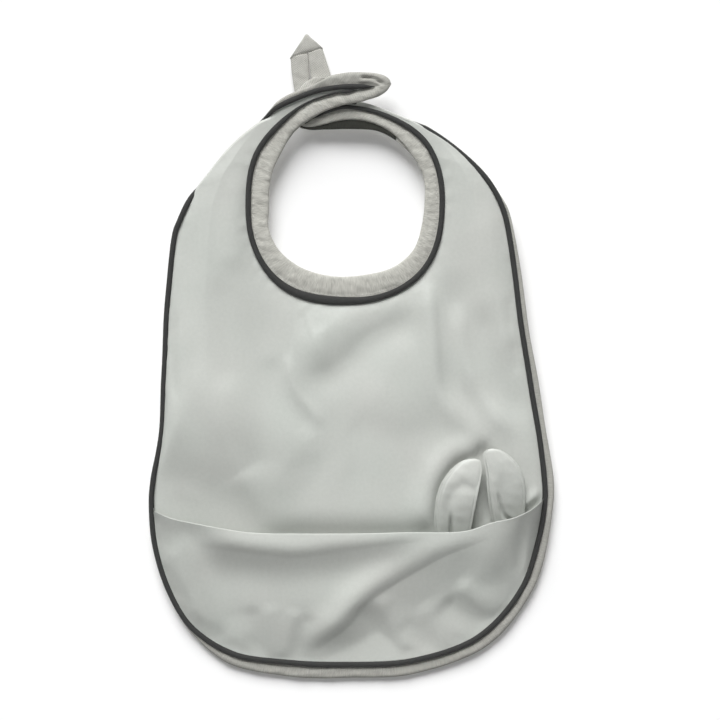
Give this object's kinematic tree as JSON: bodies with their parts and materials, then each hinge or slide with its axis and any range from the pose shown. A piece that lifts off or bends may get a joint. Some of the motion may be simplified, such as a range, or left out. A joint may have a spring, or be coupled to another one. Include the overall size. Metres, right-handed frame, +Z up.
{
  "type": "baby bib",
  "caption": "Upright wipe-clean fabric baby bib with round neck opening, piped edges, crumb pocket across the bottom, soft ears at the pocket, overlapping neck straps and a hanging loop.",
  "frame": {"origin": "centre of the neck opening, in the middle of the cloth", "axes": "+Z up along the bib's length, -Y out of the coated front, +X to the right of someone facing the front"},
  "size_m": [0.2452, 0.0197, 0.388],
  "materials": {
    "coated_fabric": "pale sage green woven polyester with a satin wipe-clean coating",
    "lining_fabric": "light grey woven chambray",
    "band_fabric": "light grey woven chambray, cut as a tape",
    "piping_tape": "charcoal woven tape round a cord",
    "filler_cord": "soft twisted cotton cord",
    "fastening_tape": "pale grey hook-and-loop tape"
  },
  "bodies": {
    "root": {"back_panel": "lining_fabric", "front_panel": "coated_fabric", "outer_band": "band_fabric", "neck_band": "band_fabric", "outer_piping": "piping_tape", "outer_piping_cord": "filler_cord", "neck_piping": "piping_tape", "neck_piping_cord": "filler_cord"},
    "left_strap": {"left_strap_lining": "lining_fabric", "left_strap_band": "band_fabric", "left_strap_face": "coated_fabric", "left_strap_piping": "piping_tape", "left_strap_piping_cord": "filler_cord", "hook_tape": "fastening_tape"},
    "right_strap": {"right_strap_lining": "lining_fabric", "right_strap_band": "band_fabric", "right_strap_face": "coated_fabric", "right_strap_piping": "piping_tape", "right_strap_piping_cord": "filler_cord", "loop_tape": "fastening_tape"},
    "hanging_loop": {"hanging_loop": "band_fabric"},
    "pocket": {"pocket_panel": "coated_fabric"},
    "left_ear": {"left_ear_back": "coated_fabric", "left_ear_front": "coated_fabric"},
    "right_ear": {"right_ear_back": "coated_fabric", "right_ear_front": "coated_fabric"}
  },
  "joints": [
    {"name": "left_strap_peel", "type": "hinge", "parent": "root", "child": "left_strap", "pos_m": [-0.04725, -0.0029, 0.03964], "axis": [0.766, 0, -0.6428], "range_deg": [0, 110]},
    {"name": "right_strap_swing", "type": "hinge", "parent": "root", "child": "right_strap", "pos_m": [0.05942, 0.002, 0.04988], "axis": [0, 1, 0], "range_deg": [0, 30]},
    {"name": "hanging_loop_swing", "type": "hinge", "parent": "left_strap", "child": "hanging_loop", "pos_m": [-0.0202, 0.0062, 0.0751], "axis": [-1, 0, 0], "range_deg": [0, 90], "stiffness_Nm_per_rad": 0.001, "springref_deg": -2.86},
    {"name": "pocket_open", "type": "hinge", "parent": "root", "child": "pocket", "pos_m": [0, 0, -0.2736], "axis": [1, 0, 0], "range_deg": [0, 20], "stiffness_Nm_per_rad": 0.05, "springref_deg": -2.86},
    {"name": "left_ear_fold", "type": "hinge", "parent": "root", "child": "left_ear", "pos_m": [0.0576, -0.0035, -0.1942], "axis": [0.9787, 0, 0.2055], "range_deg": [0, 85], "stiffness_Nm_per_rad": 0.001, "springref_deg": -2.86},
    {"name": "right_ear_fold", "type": "hinge", "parent": "root", "child": "right_ear", "pos_m": [0.0878, -0.0035, -0.187], "axis": [0.9417, 0, 0.3363], "range_deg": [0, 85], "stiffness_Nm_per_rad": 0.001, "springref_deg": -2.86}
  ]
}
